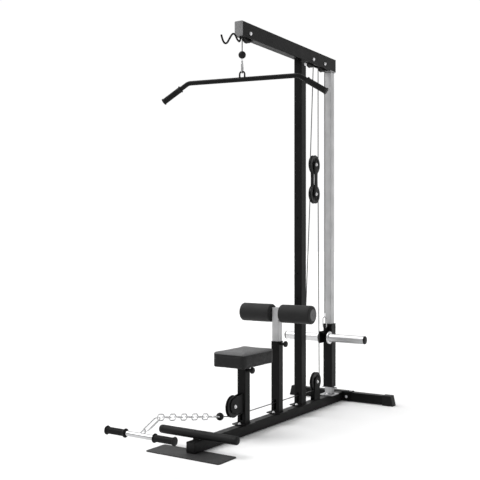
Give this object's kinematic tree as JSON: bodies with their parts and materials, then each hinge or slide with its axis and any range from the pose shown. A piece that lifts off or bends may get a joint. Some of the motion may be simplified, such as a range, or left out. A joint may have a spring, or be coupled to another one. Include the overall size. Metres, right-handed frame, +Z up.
{
  "type": "lat pulldown machine",
  "caption": "Plate-loaded lat pulldown and low row tower with padded seat, knee rollers, cable pulleys and a sliding weight carriage",
  "frame": {"origin": "on the floor, under the middle of the foot plate at the machine's front", "axes": "+X to the seated user's right, +Y to the back, +Z up"},
  "size_m": [0.9088, 2.0406, 2.1875],
  "materials": {
    "powder_coat": "black powder coat, satin",
    "textured_plate": "black textured coat on steel plate",
    "galvanised": "light silver zinc plating",
    "chrome": "bright chrome",
    "bolt": "zinc-plated fasteners",
    "nylon": "black nylon",
    "grey_plastic": "grey plastic cap",
    "rubber": "black rubber",
    "foam": "black closed-cell foam",
    "vinyl": "dark grey and black vinyl over foam",
    "rope": "nylon-coated steel rope"
  },
  "bodies": {
    "frame": {"base_rail": "powder_coat", "foot_plate": "textured_plate", "foot_bar": "rubber", "rear_stabiliser": "powder_coat", "stabiliser_cap_left": "rubber", "stabiliser_cap_right": "rubber", "seat_post": "powder_coat", "knee_post": "powder_coat", "main_upright": "powder_coat", "guide_tube": "galvanised", "boom": "powder_coat", "boom_front_cap": "grey_plastic", "bar_holder": "powder_coat", "top_axle_front": "bolt", "top_axle_mid": "bolt", "top_axle_rear": "bolt", "low_axle_front": "bolt", "low_axle_rear": "bolt", "lat_rope_front": "rope", "lat_rope_carriage": "rope", "row_rope_base": "rope"},
    "carriage": {"carriage_tube": "powder_coat", "carriage_bush_upper": "nylon", "carriage_bush_lower": "nylon", "carriage_bracket": "powder_coat", "carriage_link": "bolt", "sleeve_left": "galvanised", "sleeve_right": "galvanised", "sleeve_cap_left": "nylon", "sleeve_cap_right": "nylon"},
    "lat_line": {"lat_ball_stop": "rubber"},
    "lat_bar_set": {"lat_bar": "powder_coat", "lat_grip_left": "rubber", "lat_grip_right": "rubber", "lat_link": "bolt"},
    "float_block": {"float_plate_left": "powder_coat", "float_plate_right": "powder_coat", "lat_rope_float_loop": "rope", "row_rope_float_loop": "rope"},
    "wheel_top_front": {"top_wheel_front": "nylon"},
    "wheel_top_mid": {"top_wheel_mid": "nylon"},
    "wheel_top_rear": {"top_wheel_rear": "nylon"},
    "wheel_low_front": {"low_wheel_front": "nylon"},
    "wheel_low_rear": {"low_wheel_rear": "nylon"},
    "wheel_float_upper": {"float_wheel_upper": "nylon"},
    "wheel_float_lower": {"float_wheel_lower": "nylon"},
    "row_line": {"row_ball_stop": "rubber"},
    "row_handle_set": {"row_chain": "chrome", "row_clip": "chrome", "row_handle": "chrome", "row_grip_left": "rubber", "row_grip_right": "rubber"},
    "seat": {"seat_bracket": "galvanised", "seat_pad": "vinyl"},
    "knee_rest": {"knee_inner_post": "galvanised", "knee_axle": "grey_plastic"},
    "roller_left": {"roller_pad_left": "foam"},
    "roller_right": {"roller_pad_right": "foam"},
    "seat_pull_pin": {"seat_pin": "nylon"},
    "knee_pull_pin": {"knee_pin": "nylon"}
  },
  "joints": [
    {"name": "carriage_lift", "type": "slide", "parent": "frame", "child": "carriage", "axis": [0, 0, 1], "range_m": [0, 0.98], "deforming": ["lat_rope_carriage"]},
    {"name": "lat_pull", "type": "slide", "parent": "frame", "child": "lat_line", "axis": [0, 0, -1], "range_m": [0, 0.98], "deforming": ["lat_rope_front"]},
    {"name": "lat_bar_swivel", "type": "hinge", "parent": "lat_line", "child": "lat_bar_set", "pos_m": [0, 0.453, 1.885], "axis": [0, 0, 1], "continuous": true},
    {"name": "top_front_spin", "type": "hinge", "parent": "frame", "child": "wheel_top_front", "pos_m": [0, 0.497, 2.1335], "axis": [1, 0, 0], "continuous": true},
    {"name": "top_mid_spin", "type": "hinge", "parent": "frame", "child": "wheel_top_mid", "pos_m": [0, 1.203, 2.1335], "axis": [1, 0, 0], "continuous": true},
    {"name": "top_rear_spin", "type": "hinge", "parent": "frame", "child": "wheel_top_rear", "pos_m": [0, 1.352, 2.1335], "axis": [1, 0, 0], "continuous": true},
    {"name": "float_upper_spin", "type": "hinge", "parent": "float_block", "child": "wheel_float_upper", "pos_m": [0, 1.257, 1.5], "axis": [1, 0, 0], "continuous": true},
    {"name": "row_pull", "type": "slide", "parent": "frame", "child": "row_line", "axis": [0, -0.9854, 0.1702], "range_m": [0, 1], "deforming": ["row_rope_base"]},
    {"name": "row_handle_swivel", "type": "hinge", "parent": "row_line", "child": "row_handle_set", "pos_m": [0, 0.248, 0.13863], "axis": [0, -0.9854, 0.1702], "continuous": true},
    {"name": "float_drop", "type": "slide", "parent": "frame", "child": "float_block", "axis": [0, 0, -1], "range_m": [0, 0.5], "deforming": ["lat_rope_float_loop", "row_rope_float_loop"]},
    {"name": "low_front_spin", "type": "hinge", "parent": "frame", "child": "wheel_low_front", "pos_m": [0, 0.366, 0.17], "axis": [1, 0, 0], "continuous": true},
    {"name": "low_rear_spin", "type": "hinge", "parent": "frame", "child": "wheel_low_rear", "pos_m": [0, 1.271, 0.17], "axis": [1, 0, 0], "continuous": true},
    {"name": "float_lower_spin", "type": "hinge", "parent": "float_block", "child": "wheel_float_lower", "pos_m": [0, 1.257, 1.32], "axis": [1, 0, 0], "continuous": true},
    {"name": "seat_height", "type": "slide", "parent": "frame", "child": "seat", "axis": [0, 0, 1], "range_m": [0, 0.09]},
    {"name": "knee_height", "type": "slide", "parent": "frame", "child": "knee_rest", "axis": [0, 0, 1], "range_m": [0, 0.09]},
    {"name": "roller_left_spin", "type": "hinge", "parent": "knee_rest", "child": "roller_left", "pos_m": [0, 0.814, 0.622], "axis": [1, 0, 0], "continuous": true},
    {"name": "roller_right_spin", "type": "hinge", "parent": "knee_rest", "child": "roller_right", "pos_m": [0, 0.814, 0.622], "axis": [1, 0, 0], "continuous": true},
    {"name": "seat_pin_pull", "type": "slide", "parent": "frame", "child": "seat_pull_pin", "axis": [1, 0, 0], "range_m": [0, 0.012], "stiffness_N_per_m": 600, "springref_m": -0.006},
    {"name": "knee_pin_pull", "type": "slide", "parent": "frame", "child": "knee_pull_pin", "axis": [1, 0, 0], "range_m": [0, 0.012], "stiffness_N_per_m": 600, "springref_m": -0.006}
  ],
  "couplings": [
    {"joint": "lat_pull", "follows": "carriage_lift", "ratio": 1},
    {"joint": "top_front_spin", "follows": "carriage_lift", "rad_per_m": 22.727},
    {"joint": "top_mid_spin", "follows": "carriage_lift", "rad_per_m": 22.727},
    {"joint": "top_rear_spin", "follows": "carriage_lift", "rad_per_m": 22.727},
    {"joint": "float_upper_spin", "follows": "carriage_lift", "rad_per_m": -19.608},
    {"joint": "float_drop", "follows": "row_pull", "ratio": 0.5},
    {"joint": "low_front_spin", "follows": "row_pull", "rad_per_m": -19.608},
    {"joint": "low_rear_spin", "follows": "row_pull", "rad_per_m": -19.608},
    {"joint": "float_lower_spin", "follows": "row_pull", "rad_per_m": -9.8039}
  ]
}
